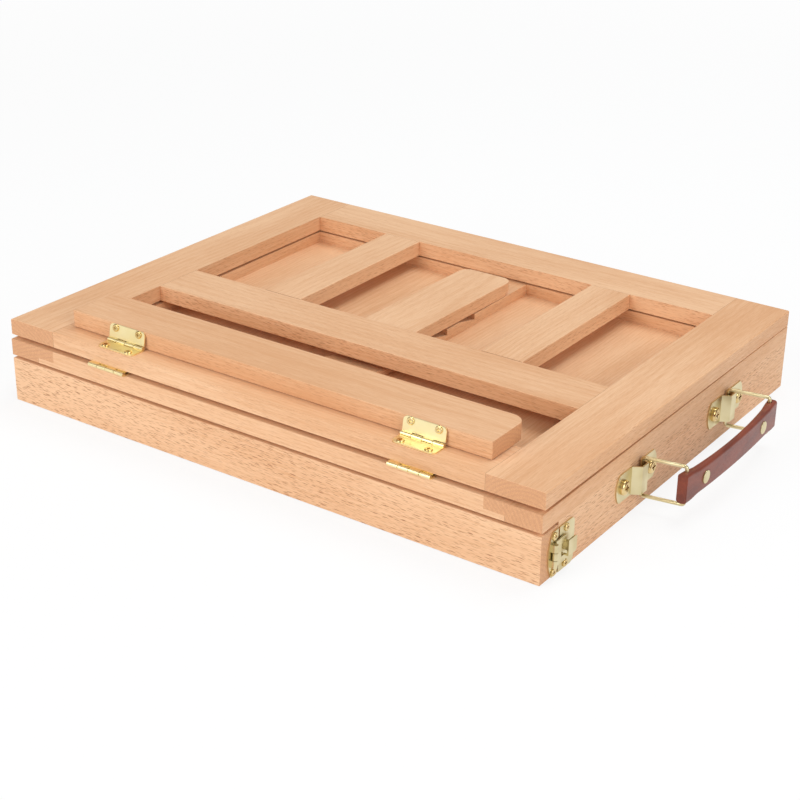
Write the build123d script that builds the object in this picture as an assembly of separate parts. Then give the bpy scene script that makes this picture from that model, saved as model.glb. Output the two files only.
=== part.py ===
from build123d import *
import os
from math import asin, cos, degrees, radians, sin

# A desktop box easel in beech: a shallow box with one drawer, a tray frame glued on top of it,
# and an easel frame hinged to the tray's front edge. A strut props the easel frame up from a
# notched board in the tray, and a hinged ledge stands up on the frame to hold a canvas.
# Millimetres. x runs to the right, y to the back, z up. The origin lies under the middle of the
# box, on the table.

# Clearances
RUNNING_FIT = 0.05
WOOD_PLAY = 0.3
DRAWER_PLAY = 0.8
SLIDE_PLAY = 0.4
GROOVE_PLAY = 0.1
# How far a cutting tool reaches past a face, and how near an edge must lie to be picked with it
OVERCUT = 1.0
NEAR = 1.0

# Box
BOX_WIDTH = 349.0
BOX_DEPTH = 279.0
WALL = 10.0
WALL_HEIGHT = 28.8
PLY = 3.0
BOTTOM_LAP = 5.0

# Drawer
FRONT_THICKNESS = 15.0
FRONT_BOTTOM = 0.4
FRONT_TOP = 26.8
DRAWER_WALL = 8.0
DRAWER_BACK_GAP = 4.0
DRAWER_WALL_DROP = 0.4
GROOVE_RISE = 2.6
GROOVE_DEPTH = 4.0
DIVIDER = 5.0
DIVIDER_HEIGHT = 13.0
LONG_DIVIDER_Y = -20.0
CROSS_DIVIDER_X = 52.0

# Tray frame
TRAY_THICKNESS = 9.8
TRAY_STILE = 32.5
TRAY_RAIL = 34.0
FLOOR_LAP = 12.0
FLOOR_PLAY = 0.2

# Ratchet board
RATCHET_WIDTH = 35.2
NOTCH_PITCH = 29.3
NOTCH_COUNT = 4
NOTCH_RAMP = 16.0
NOTCH_DEPTH = 3.6
LAST_NOTCH_INSET = 58.9

# Easel frame
EASEL_SIDE_OVERHANG = 0.5
EASEL_END_SETBACK = 1.0
EASEL_THICKNESS = 9.2
EASEL_STILE = 33.0
EASEL_RAIL = 33.0
SLOT = 55.0
CROSS_BAR = 26.0
CROSS_BAR_X = 75.5
BACK_GAP = 1.0
ARRIS = 1.0
SMALL_ARRIS = 0.4
DOWEL_RADIUS = 2.5
DOWEL_LENGTH = 30.0
DOWEL_SPREAD = 8.0

# Ledge
LEDGE_WIDTH = 275.0
LEDGE_DEPTH = 32.2
LEDGE_THICKNESS = 9.6
LEDGE_SETBACK = 12.9
LEDGE_GAP = 0.5
LEDGE_CORNER = 8.0

# Strut
STRUT_WIDTH = 35.0
STRUT_THICKNESS = 7.9
STRUT_END_GAP = 16.0
STRUT_DROOP = 0.57
STRUT_BEVEL_RUN = 10.0
STRUT_BEVEL_RISE = 4.6
STRUT_CORNER = 7.0
STRUT_HEEL_RUN = 1.2
STRUT_HEEL_RISE = 1.0

# Butt hinges
HINGE_WIDTH = 25.4
KNUCKLE_RADIUS = 1.2
PIN_RADIUS = 0.6
KNUCKLE_GAP = 0.3
LEAF = 0.8
LEAF_CORNER = 2.5
LEAF_LENGTH = 9.2
LEAF_SCREW_SPREAD = 16.6
LEAF_SCREW_OUT = 7.1
LEAF_LEAN = 10.0
LEDGE_HINGE_LEFT_X = 96.2
LEDGE_HINGE_RIGHT_X = 99.4
FRAME_HINGE_X = 100.0
FRAME_LEAF_LENGTH = 11.0
FRAME_HINGE_OUT = 1.1
STRUT_LEAF_LENGTH = 6.2
STRUT_LEAF_CORNER = 0.5
STRUT_PIVOT_RISE = 0.8
STRUT_LEAF_SCREW_OUT = 4.0

# Screws
SHANK_RADIUS = 1.0
HEAD_RADIUS = 2.1
HEAD_HEIGHT = 0.8
HEAD_ROUND = 0.5
CROSS_LENGTH = 1.9
CROSS_WIDTH = 0.5
CROSS_DEPTH = 0.5
SCREW_LENGTH = 4.2
SCREW_TIP = 1.5
SCREW_POINT_RADIUS = 0.25
FLAT_HEAD_RADIUS = 1.7
LEAF_HOLE_PLAY = 0.15

# Carrying handle on the right wall
HANDLE_Y = 6.6
HANDLE_Z = 18.9
PIVOT_SPACING = 100.3
PIVOT_OUT = 2.2
BAIL_REACH = 23.2
BAIL_LEAN = 9.0
BAIL_HALF_HEIGHT = 10.8
BAIL_BEND = 1.5
WIRE_RADIUS = 1.0
WIRE_END_GAP = 0.6
PLATE = 0.8
BRACKET_Y = 5.95
BRACKET_Z = 19.4
BRACKET_SPACING = 103.9
BRACKET_HALF_LENGTH = 18.3
BRACKET_BULGE = 3.3
BRACKET_HEIGHT = 15.8
BRACKET_SCREW_SPREAD = 28.8
BRACKET_HEAD_RADIUS = 4.0
BRACKET_HEAD_HEIGHT = 2.2
BRACKET_HEAD_ROUND = 1.3
BRACKET_CROSS_LENGTH = 4.0
BRACKET_CROSS_WIDTH = 0.9
BRACKET_CROSS_DEPTH = 1.0
STRAP_BASE = 6.4
STRAP_CREST = 3.1
STRAP_RISE = 5.4
GRIP_HALF_HEIGHT = 8.2
GRIP_WAIST_HALF_HEIGHT = 7.2
GRIP_WAIST_HALF_LENGTH = 42.0
GRIP_FLARE = 7.0
GRIP_FLARE_ROUND = 20.0
GRIP_THICKNESS = 5.6
GRIP_CROWN = 3.8
GRIP_ARCH = 3.8
GRIP_END = 4.0
GRIP_ROUND = 1.6
GRIP_FAR_PLAY = 0.3
RIVET_SPREAD = 69.6
RIVET_HEAD_RADIUS = 3.6
RIVET_SHANK_RADIUS = 1.6
RIVET_PROUD = 0.5
RIVET_HEAD = 1.0

# Latch on the right end of the drawer front. Each place that ends in INSET is counted from the
# box's front face.
LATCH_Z = 13.2
LATCH_HEIGHT = 24.8
LATCH_PIN_INSET = 9.5
LATCH_BARREL_RADIUS = 1.3
LATCH_PIN_RADIUS = 0.55
LATCH_BARREL_HEIGHT = 12.6
LATCH_BASE_LEFT_INSET = 5.9
LATCH_BASE_SAG = 3.6
LATCH_BASE_RIGHT_INSET = 14.5
CATCH_LEFT_INSET = 15.7
CATCH_RIGHT_INSET = 30.0
CATCH_CORNER = 3.0
BASE_SCREW_INSET = 10.85
CATCH_SCREW_INSET = 22.0
LATCH_SCREW_SPREAD = 19.6
HASP_HEIGHT = 14.0
HASP_LIFT = 0.3
HASP_BAR = 3.4
HASP_WINDOW_INSET = 16.3
HASP_RISER_INSET = 19.7
HASP_LIP_END_INSET = 27.6
HASP_LIP_RISE = 2.0
HASP_LIP_HEIGHT = 8.6
HASP_MOUTH_HEIGHT = 7.0
NIB_INSET = 21.9
NIB_THICKNESS = 1.2
NIB_HEIGHT = 4.6
NIB_OUT = 2.0
LATCH_SCREW_LENGTH = 4.6

# Places that follow from the sizes above
WALL_X = BOX_WIDTH / 2
BOX_FRONT_Y = -BOX_DEPTH / 2
BOX_BACK_Y = BOX_DEPTH / 2
DRAWER_JOINT_Y = BOX_FRONT_Y + FRONT_THICKNESS
WALL_FRONT_Y = DRAWER_JOINT_Y + WOOD_PLAY
WALL_INNER_X = WALL_X - WALL
TRAY_TOP = WALL_HEIGHT + TRAY_THICKNESS
TRAY_INNER_X = WALL_X - TRAY_STILE
TRAY_INNER_Y = BOX_BACK_Y - TRAY_RAIL
FLOOR_TOP = WALL_HEIGHT + PLY
LAST_NOTCH_WALL_Y = TRAY_INNER_Y - LAST_NOTCH_INSET
EASEL_X = WALL_X + EASEL_SIDE_OVERHANG
EASEL_Y = BOX_BACK_Y - EASEL_END_SETBACK
EASEL_INNER_X = EASEL_X - EASEL_STILE
EASEL_BOTTOM = TRAY_TOP + 2 * KNUCKLE_RADIUS
EASEL_TOP = EASEL_BOTTOM + EASEL_THICKNESS
BACK_RAIL_FRONT_Y = EASEL_Y - EASEL_RAIL
CENTRE_RAIL_FRONT_Y = -EASEL_Y + EASEL_RAIL + SLOT
CENTRE_RAIL_BACK_Y = CENTRE_RAIL_FRONT_Y + EASEL_RAIL
FRAME_AXIS_Y = BOX_FRONT_Y - FRAME_HINGE_OUT
FRAME_AXIS_Z = TRAY_TOP + KNUCKLE_RADIUS
EASEL_TILT = degrees(asin((2 * KNUCKLE_RADIUS - BACK_GAP) / (2 * EASEL_Y)))
LEDGE_FRONT_Y = -EASEL_Y + LEDGE_SETBACK
LEDGE_BOTTOM = EASEL_TOP + LEDGE_GAP
LEDGE_TOP = LEDGE_BOTTOM + LEDGE_THICKNESS
LEDGE_AXIS_Z = EASEL_TOP + KNUCKLE_RADIUS
LEDGE_AXIS_Y = (LEDGE_FRONT_Y - LEAF_LENGTH * sin(radians(LEAF_LEAN))
                - KNUCKLE_RADIUS * cos(radians(LEAF_LEAN)))
HINGE_HALF_GAP = KNUCKLE_RADIUS - LEAF
STRUT_AXIS_Y = CENTRE_RAIL_BACK_Y + HINGE_HALF_GAP
STRUT_AXIS_Z = EASEL_BOTTOM + STRUT_PIVOT_RISE
STRUT_START_Y = STRUT_AXIS_Y + HINGE_HALF_GAP
STRUT_END_Y = BACK_RAIL_FRONT_Y - STRUT_END_GAP
HANDLE_X = WALL_X + PIVOT_OUT
LATCH_PIN_X = WALL_X + PLATE + HASP_LIFT + LATCH_BARREL_RADIUS
LATCH_PIN_Y = BOX_FRONT_Y + LATCH_PIN_INSET
LATCH_BASE_LEFT_Y = BOX_FRONT_Y + LATCH_BASE_LEFT_INSET
LATCH_BASE_RIGHT_Y = BOX_FRONT_Y + LATCH_BASE_RIGHT_INSET
CATCH_LEFT_Y = BOX_FRONT_Y + CATCH_LEFT_INSET
CATCH_RIGHT_Y = BOX_FRONT_Y + CATCH_RIGHT_INSET
BASE_SCREW_Y = BOX_FRONT_Y + BASE_SCREW_INSET
CATCH_SCREW_Y = BOX_FRONT_Y + CATCH_SCREW_INSET
HASP_WINDOW_START_Y = BOX_FRONT_Y + HASP_WINDOW_INSET
HASP_RISER_Y = BOX_FRONT_Y + HASP_RISER_INSET
HASP_LIP_END_Y = BOX_FRONT_Y + HASP_LIP_END_INSET
NIB_Y = BOX_FRONT_Y + NIB_INSET


def block(x, y, z):
    """A box between three (low, high) pairs."""
    size = Box(x[1] - x[0], y[1] - y[0], z[1] - z[0])
    return Pos((x[0] + x[1]) / 2, (y[0] + y[1]) / 2, (z[0] + z[1]) / 2) * size


def mirrored_x(span):
    """The span on the other side of the middle plane."""
    return (-span[1], -span[0])


def side_span(low, high, side):
    """A span on the right side, or its mirror image on the left."""
    return (low, high) if side > 0 else mirrored_x((low, high))


def rod_x(radius, x, y, z):
    """A cylinder along x between a (low, high) pair."""
    return Pos((x[0] + x[1]) / 2, y, z) * Rot(Y=90) * Cylinder(radius, x[1] - x[0])


def rod_z(radius, x, y, z):
    """A cylinder along z between a (low, high) pair."""
    return Pos(x, y, (z[0] + z[1]) / 2) * Cylinder(radius, z[1] - z[0])


def eased(part, radius, along, keep):
    """Rounds the edges that run along an axis and whose middle passes the test."""
    chosen = [edge for edge in part.edges().filter_by(along) if keep(edge.center())]
    return fillet(chosen, radius)


def tilted(part):
    """Turns a piece of the easel frame down to its rest on the tray, about the front hinges."""
    to_axis = Pos(0, -FRAME_AXIS_Y, -FRAME_AXIS_Z)
    return Pos(0, FRAME_AXIS_Y, FRAME_AXIS_Z) * Rot(X=-EASEL_TILT) * to_axis * part


def cross_head(radius, height, rounding, cross):
    """A round screw head on z = 0. The cross is given by its length, width and depth."""
    head = Pos(0, 0, height / 2) * Cylinder(radius, height)
    head = fillet(head.edges().group_by(Axis.Z)[-1], rounding)
    length, width, depth = cross
    for turn in (0, 90):
        head -= Pos(0, 0, height) * Rot(Z=turn) * Box(length, width, 2 * depth)
    return head


def pan_screw(length=SCREW_LENGTH):
    """A cross-head screw. Its head sits on z = 0 and its shank points down."""
    cross = (CROSS_LENGTH, CROSS_WIDTH, CROSS_DEPTH)
    return cross_head(HEAD_RADIUS, HEAD_HEIGHT, HEAD_ROUND, cross) + screw_shank(length)


def screw_shank(length):
    """The pointed shank of a screw, from z = 0 down."""
    straight = Pos(0, 0, -(length - SCREW_TIP) / 2) * Cylinder(SHANK_RADIUS, length - SCREW_TIP)
    tip = Pos(0, 0, -length + SCREW_TIP / 2) * Cone(SCREW_POINT_RADIUS, SHANK_RADIUS, SCREW_TIP)
    return straight + tip


def flat_screw():
    """A countersunk screw for a leaf. Its head is flush with z = LEAF and it points down."""
    head = Pos(0, 0, LEAF / 2) * Cone(SHANK_RADIUS, FLAT_HEAD_RADIUS, LEAF)
    slot = Pos(0, 0, LEAF) * Box(2 * FLAT_HEAD_RADIUS, CROSS_WIDTH, CROSS_DEPTH)
    return head - slot + screw_shank(SCREW_LENGTH)


def pilot_hole(length=SCREW_LENGTH):
    """The hole in the wood under a screw."""
    depth = length + WOOD_PLAY
    return Pos(0, 0, -depth / 2) * Cylinder(SHANK_RADIUS + RUNNING_FIT, depth)


def leaf_screw_spots(out):
    """Where the two screws of a leaf stand, seen from the leaf's inner face."""
    return [Pos(x, out, -KNUCKLE_RADIUS) for x in (-LEAF_SCREW_SPREAD / 2, LEAF_SCREW_SPREAD / 2)]


def hinge_leaf(length, owned, count, screw_out, countersunk=False, corner=LEAF_CORNER):
    """One leaf of a butt hinge. The pin's axis is x, the leaf reaches to +y, its back faces -z."""
    thickness = (-KNUCKLE_RADIUS, -KNUCKLE_RADIUS + LEAF)
    plate = block((-HINGE_WIDTH / 2, HINGE_WIDTH / 2), (0, length), thickness)
    plate = fillet(plate.edges().filter_by(Axis.Z).group_by(Axis.Y)[-1], corner)
    pitch = HINGE_WIDTH / count
    for index in range(count):
        low = -HINGE_WIDTH / 2 + index * pitch
        high = low + pitch
        if index in owned:
            start = low if index == 0 else low + KNUCKLE_GAP / 2
            end = high if index == count - 1 else high - KNUCKLE_GAP / 2
            plate += rod_x(KNUCKLE_RADIUS, (start, end), 0, 0)
        else:
            start = low if index > 0 else low - KNUCKLE_GAP
            end = high if index < count - 1 else high + KNUCKLE_GAP
            reach = KNUCKLE_RADIUS + WOOD_PLAY
            notch_x = (start - KNUCKLE_GAP / 2, end + KNUCKLE_GAP / 2)
            plate -= block(notch_x, (-reach, reach), (-reach, reach))
    bore = PIN_RADIUS + RUNNING_FIT
    plate -= rod_x(bore, (-HINGE_WIDTH, HINGE_WIDTH), 0, 0)
    for spot in leaf_screw_spots(screw_out):
        if countersunk:
            sink = Cone(SHANK_RADIUS + RUNNING_FIT, FLAT_HEAD_RADIUS + RUNNING_FIT, LEAF)
            plate -= spot * Pos(0, 0, LEAF / 2) * sink
        else:
            plate -= spot * Cylinder(SHANK_RADIUS + LEAF_HOLE_PLAY, 4 * LEAF)
    return plate


def hinge_pin():
    """The pin of a butt hinge, along x."""
    return rod_x(PIN_RADIUS, (-HINGE_WIDTH / 2, HINGE_WIDTH / 2), 0, 0)


# Where each leaf sits. A screw stands at a leaf's spots in the same frame.
REACH_BACK = Rot(X=0)
REACH_BACK_FACE_UP = Rot(Y=180)
REACH_FRONT = Rot(Z=180)
STAND_LEANING = Rot(X=90 - LEAF_LEAN)
STAND_ON_RAIL = Rot(X=-90) * Rot(Z=180)
STAND_ON_STRUT = Rot(X=90)


def frame_hinge_frames():
    """The places of the two hinges between tray and easel frame."""
    return [Pos(side * FRAME_HINGE_X, FRAME_AXIS_Y, FRAME_AXIS_Z) for side in (-1, 1)]


def ledge_hinge_frames():
    """The places of the two hinges between easel frame and ledge, before the frame is tilted."""
    return [Pos(x, LEDGE_AXIS_Y, LEDGE_AXIS_Z) for x in (-LEDGE_HINGE_LEFT_X, LEDGE_HINGE_RIGHT_X)]


STRUT_HINGE_FRAME = Pos(0, STRUT_AXIS_Y, STRUT_AXIS_Z)
STRUT_TURN = STRUT_HINGE_FRAME * Rot(X=-STRUT_DROOP) * Pos(0, -STRUT_AXIS_Y, -STRUT_AXIS_Z)


def placed_at_screws(frames, turn, out, tool):
    """Copies a tool, such as a screw or a hole, to every screw spot of some leaves."""
    return [frame * turn * spot * tool for frame in frames for spot in leaf_screw_spots(out)]


def cut_all(part, tools):
    """Takes each tool away from a part."""
    for tool in tools:
        part -= tool
    return part


# Box


def case_side(side):
    """A side wall of the box, rebated below for the bottom panel."""
    x = side_span(WALL_INNER_X, WALL_X, side)
    wall = block(x, (WALL_FRONT_Y, BOX_BACK_Y), (0, WALL_HEIGHT))
    wall = eased(wall, SMALL_ARRIS, Axis.Y, lambda c: abs(c.X) > WALL_X - NEAR and c.Z < NEAR)
    lap = (WALL_INNER_X - OVERCUT, WALL_INNER_X + BOTTOM_LAP)
    lap_y = (WALL_FRONT_Y - OVERCUT, BOX_BACK_Y - WALL + BOTTOM_LAP)
    wall -= block(side_span(*lap, side), lap_y, (-OVERCUT, PLY))
    if side > 0:
        holes = [frame * Rot(Y=90) * pilot_hole(LATCH_SCREW_LENGTH)
                 for frame in bracket_screw_frames() + catch_screw_frames()]
        wall = cut_all(wall, holes)
    return wall


def case_back():
    """The back wall, between the side walls."""
    wall = block((-WALL_INNER_X, WALL_INNER_X), (BOX_BACK_Y - WALL, BOX_BACK_Y), (0, WALL_HEIGHT))
    lap_y = (BOX_BACK_Y - WALL - OVERCUT, BOX_BACK_Y - WALL + BOTTOM_LAP)
    return wall - block((-BOX_WIDTH, BOX_WIDTH), lap_y, (-OVERCUT, PLY))


def case_bottom_panel():
    """The plywood bottom, let into the walls from below."""
    half = WALL_INNER_X + BOTTOM_LAP
    return block((-half, half), (WALL_FRONT_Y, BOX_BACK_Y - WALL + BOTTOM_LAP), (0, PLY))


# Drawer


DRAWER_X = WALL_INNER_X - DRAWER_PLAY
DRAWER_INNER_X = DRAWER_X - DRAWER_WALL
DRAWER_LOW = PLY + SLIDE_PLAY
DRAWER_HIGH = FRONT_TOP - DRAWER_WALL_DROP
DRAWER_END_Y = BOX_BACK_Y - WALL - DRAWER_BACK_GAP
GROOVE_LOW = DRAWER_LOW + GROOVE_RISE
GROOVE_HIGH = GROOVE_LOW + PLY + GROOVE_PLAY
DRAWER_BACK_Y = DRAWER_END_Y - DRAWER_WALL


def drawer_front():
    """The drawer front, which closes the whole front of the box."""
    front = block((-WALL_X, WALL_X), (BOX_FRONT_Y, DRAWER_JOINT_Y), (FRONT_BOTTOM, FRONT_TOP))
    front = eased(front, SMALL_ARRIS, Axis.X, lambda c: c.Y < BOX_FRONT_Y + NEAR)
    front = eased(front, SMALL_ARRIS, Axis.Z, lambda c: c.Y < BOX_FRONT_Y + NEAR)
    groove_x = (-DRAWER_INNER_X - GROOVE_DEPTH, DRAWER_INNER_X + GROOVE_DEPTH)
    groove_y = (DRAWER_JOINT_Y - GROOVE_DEPTH, DRAWER_JOINT_Y + OVERCUT)
    front -= block(groove_x, groove_y, (GROOVE_LOW, GROOVE_HIGH))
    holes = [frame * Rot(Y=90) * pilot_hole(LATCH_SCREW_LENGTH) for frame in base_screw_frames()]
    return cut_all(front, holes)


def drawer_side(side):
    """A side of the drawer, grooved for the bottom."""
    x = side_span(DRAWER_INNER_X, DRAWER_X, side)
    wall = block(x, (DRAWER_JOINT_Y, DRAWER_END_Y), (DRAWER_LOW, DRAWER_HIGH))
    groove_x = side_span(DRAWER_INNER_X - OVERCUT, DRAWER_INNER_X + GROOVE_DEPTH, side)
    groove_y = (DRAWER_JOINT_Y - OVERCUT, DRAWER_END_Y + OVERCUT)
    return wall - block(groove_x, groove_y, (GROOVE_LOW, GROOVE_HIGH))


def drawer_back():
    """The back of the drawer, standing on the bottom."""
    x = (-DRAWER_INNER_X, DRAWER_INNER_X)
    return block(x, (DRAWER_BACK_Y, DRAWER_END_Y), (GROOVE_HIGH, DRAWER_HIGH))


def drawer_bottom():
    """The plywood bottom of the drawer, in the grooves of sides and front."""
    half = DRAWER_INNER_X + GROOVE_DEPTH - GROOVE_PLAY
    front = DRAWER_JOINT_Y - GROOVE_DEPTH + GROOVE_PLAY
    return block((-half, half), (front, DRAWER_END_Y), (GROOVE_LOW, GROOVE_LOW + PLY))


def drawer_long_divider():
    """The divider between the front compartment and the three at the back."""
    y = (LONG_DIVIDER_Y - DIVIDER / 2, LONG_DIVIDER_Y + DIVIDER / 2)
    low = GROOVE_LOW + PLY
    return block((-DRAWER_INNER_X, DRAWER_INNER_X), y, (low, low + DIVIDER_HEIGHT))


def drawer_cross_divider(side):
    """A divider from the long one to the drawer's back."""
    x = (side * CROSS_DIVIDER_X - DIVIDER / 2, side * CROSS_DIVIDER_X + DIVIDER / 2)
    low = GROOVE_LOW + PLY
    return block(x, (LONG_DIVIDER_Y + DIVIDER / 2, DRAWER_BACK_Y), (low, low + DIVIDER_HEIGHT))


# Tray frame


def tray_stile(side):
    """A side member of the tray frame, rebated along its inner lower edge."""
    x = side_span(TRAY_INNER_X, WALL_X, side)
    stile = block(x, (BOX_FRONT_Y, BOX_BACK_Y), (WALL_HEIGHT, TRAY_TOP))
    low_x = WALL_X - NEAR
    stile = eased(stile, SMALL_ARRIS, Axis.Y, lambda c: abs(c.X) > low_x and c.Z > TRAY_TOP - NEAR)
    rebate = side_span(TRAY_INNER_X - OVERCUT, TRAY_INNER_X + FLOOR_LAP, side)
    return stile - block(rebate, (-BOX_DEPTH, BOX_DEPTH), (WALL_HEIGHT - OVERCUT, FLOOR_TOP))


def tray_rail(side):
    """The front or back member of the tray frame. Its tongues lie in the stiles' rebates."""
    y = side_span(TRAY_INNER_Y, BOX_BACK_Y, side)
    rail = block((-TRAY_INNER_X, TRAY_INNER_X), y, (WALL_HEIGHT, TRAY_TOP))
    low_y = BOX_BACK_Y - NEAR
    rail = eased(rail, SMALL_ARRIS, Axis.X, lambda c: abs(c.Y) > low_y and c.Z > TRAY_TOP - NEAR)
    tongue = TRAY_INNER_X + FLOOR_LAP
    rail += block((-tongue, tongue), y, (WALL_HEIGHT, FLOOR_TOP))
    rebate_y = side_span(TRAY_INNER_Y - OVERCUT, TRAY_INNER_Y + FLOOR_LAP, side)
    rail -= block((-BOX_WIDTH, BOX_WIDTH), rebate_y, (WALL_HEIGHT - OVERCUT, FLOOR_TOP))
    if side < 0:
        holes = placed_at_screws(frame_hinge_frames(), REACH_BACK, FRAME_LEAF_LENGTH / 2, pilot_hole())
        rail = cut_all(rail, holes)
    return rail


def tray_floor_panel():
    """The plywood floor of the tray, let into its frame from below."""
    x = TRAY_INNER_X + FLOOR_LAP - FLOOR_PLAY
    y = TRAY_INNER_Y + FLOOR_LAP - FLOOR_PLAY
    return block((-x, x), (-y, y), (WALL_HEIGHT, FLOOR_TOP))


def ratchet_board():
    """The board down the middle of the tray, with sawtooth notches for the strut's foot."""
    half = RATCHET_WIDTH / 2
    board = block((-half, half), (-TRAY_INNER_Y, TRAY_INNER_Y), (FLOOR_TOP, TRAY_TOP))
    for index in range(NOTCH_COUNT):
        wall_y = LAST_NOTCH_WALL_Y - index * NOTCH_PITCH
        ramp_y = wall_y - NOTCH_RAMP
        corners = [(ramp_y, TRAY_TOP), (wall_y, TRAY_TOP - NOTCH_DEPTH), (wall_y, TRAY_TOP)]
        face = make_face(Polyline(*corners, close=True))
        tooth = extrude(Plane.YZ * face, amount=RATCHET_WIDTH, both=True)
        board -= tooth
    return board


# Easel frame


def dowel_frames():
    """The middle of each dowel, and the axis it lies along."""
    z = (EASEL_BOTTOM + EASEL_TOP) / 2
    rail_fronts = (-EASEL_Y, CENTRE_RAIL_FRONT_Y, BACK_RAIL_FRONT_Y)
    rail_middles = [front_y + EASEL_RAIL / 2 for front_y in rail_fronts]
    along_x = [Pos(side * EASEL_INNER_X, y + offset, z) * Rot(Y=90)
               for y in rail_middles for offset in (-DOWEL_SPREAD, DOWEL_SPREAD) for side in (-1, 1)]
    along_y = [Pos(side * CROSS_BAR_X, y, z) * Rot(X=90)
               for y in (CENTRE_RAIL_BACK_Y, BACK_RAIL_FRONT_Y) for side in (-1, 1)]
    return along_x + along_y


def drilled(member):
    """A member with the holes of the dowels that reach into it."""
    hole = Cylinder(DOWEL_RADIUS + RUNNING_FIT, DOWEL_LENGTH + WOOD_PLAY)
    box = member.bounding_box()
    for frame in dowel_frames():
        spot = frame.position
        near_x = box.min.X - DOWEL_LENGTH < spot.X < box.max.X + DOWEL_LENGTH
        near_y = box.min.Y - DOWEL_LENGTH < spot.Y < box.max.Y + DOWEL_LENGTH
        if near_x and near_y:
            member -= frame * hole
    return member


def easel_stile(side):
    """A side member of the easel frame."""
    x = side_span(EASEL_INNER_X, EASEL_X, side)
    stile = block(x, (-EASEL_Y, EASEL_Y), (EASEL_BOTTOM, EASEL_TOP))
    low_x = EASEL_X - NEAR
    stile = eased(stile, ARRIS, Axis.Y, lambda c: abs(c.X) > low_x and c.Z > EASEL_TOP - NEAR)
    stile = eased(stile, SMALL_ARRIS, Axis.X, lambda c: c.Z > EASEL_TOP - NEAR)
    return tilted(drilled(stile))


def easel_rail(front_y, holes=(), outer=0):
    """A cross member of the easel frame, from stile to stile."""
    y = (front_y, front_y + EASEL_RAIL)
    rail = block((-EASEL_INNER_X, EASEL_INNER_X), y, (EASEL_BOTTOM, EASEL_TOP))
    if outer:
        def keep(c):
            return outer * c.Y > EASEL_Y - NEAR and c.Z > EASEL_TOP - NEAR
    else:
        def keep(c):
            return c.Z > EASEL_TOP - NEAR
    rail = eased(rail, SMALL_ARRIS, Axis.X, keep)
    return tilted(cut_all(drilled(rail), holes))


def easel_front_rail():
    """The front rail, which carries the frame hinges below and the ledge hinges above."""
    out = FRAME_LEAF_LENGTH / 2
    below = placed_at_screws(frame_hinge_frames(), REACH_BACK_FACE_UP, out, pilot_hole())
    above = placed_at_screws(ledge_hinge_frames(), REACH_FRONT, LEAF_SCREW_OUT, pilot_hole())
    return easel_rail(-EASEL_Y, below + above, outer=-1)


def strut_leaf_recess():
    """The mortises in the rail and the strut for the strut's hinge."""
    half = HINGE_WIDTH / 2 + RUNNING_FIT
    y = (STRUT_AXIS_Y - KNUCKLE_RADIUS, STRUT_AXIS_Y + KNUCKLE_RADIUS)
    z = (EASEL_BOTTOM - OVERCUT, STRUT_AXIS_Z + STRUT_LEAF_LENGTH + RUNNING_FIT)
    return block((-half, half), y, z)


def easel_centre_rail():
    """The middle rail. Its back face carries the strut's hinge in a mortise."""
    screws = placed_at_screws([STRUT_HINGE_FRAME], STAND_ON_RAIL, STRUT_LEAF_SCREW_OUT, pilot_hole())
    return easel_rail(CENTRE_RAIL_FRONT_Y, [strut_leaf_recess()] + screws)


def easel_cross_bar(side):
    """A bar from the centre rail to the back rail."""
    x = (side * CROSS_BAR_X - CROSS_BAR / 2, side * CROSS_BAR_X + CROSS_BAR / 2)
    bar = block(x, (CENTRE_RAIL_BACK_Y, BACK_RAIL_FRONT_Y), (EASEL_BOTTOM, EASEL_TOP))
    bar = eased(bar, SMALL_ARRIS, Axis.Y, lambda c: c.Z > EASEL_TOP - NEAR)
    return tilted(drilled(bar))


def easel_dowels():
    """The hidden dowels of the easel frame's joints."""
    return [tilted(frame * Cylinder(DOWEL_RADIUS, DOWEL_LENGTH)) for frame in dowel_frames()]


# Ledge


def ledge_bar():
    """The flat bar that stands up on its front edge to hold a canvas."""
    half = LEDGE_WIDTH / 2
    y = (LEDGE_FRONT_Y, LEDGE_FRONT_Y + LEDGE_DEPTH)
    bar = block((-half, half), y, (LEDGE_BOTTOM, LEDGE_TOP))
    bar = fillet(bar.edges().filter_by(Axis.Z).group_by(Axis.Y)[-1], LEDGE_CORNER)
    bar = fillet(bar.edges().group_by(Axis.Z)[-1], SMALL_ARRIS)
    holes = placed_at_screws(ledge_hinge_frames(), STAND_LEANING, LEAF_SCREW_OUT, pilot_hole())
    return tilted(cut_all(bar, holes))


# Strut


def prop_strut():
    """The prop that swings down from the centre rail into a notch of the ratchet board."""
    bottom = EASEL_BOTTOM
    top = bottom + STRUT_THICKNESS
    heel = [(STRUT_START_Y, bottom + STRUT_HEEL_RISE), (STRUT_START_Y + STRUT_HEEL_RUN, bottom)]
    foot = [(STRUT_END_Y - STRUT_BEVEL_RUN, bottom), (STRUT_END_Y, bottom + STRUT_BEVEL_RISE)]
    corners = heel + foot + [(STRUT_END_Y, top), (STRUT_START_Y, top)]
    profile = Plane.YZ * make_face(Polyline(*corners, close=True))
    strut = extrude(profile, amount=STRUT_WIDTH / 2, both=True)
    strut = fillet(strut.edges().filter_by(Axis.Z).group_by(Axis.Y)[-1], STRUT_CORNER)
    strut = eased(strut, SMALL_ARRIS, Axis.Y, lambda c: c.Z > top - NEAR)
    strut -= strut_leaf_recess()
    holes = placed_at_screws([STRUT_HINGE_FRAME], STAND_ON_STRUT, STRUT_LEAF_SCREW_OUT, pilot_hole())
    return tilted(STRUT_TURN * cut_all(strut, holes))


# Hinges


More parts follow.
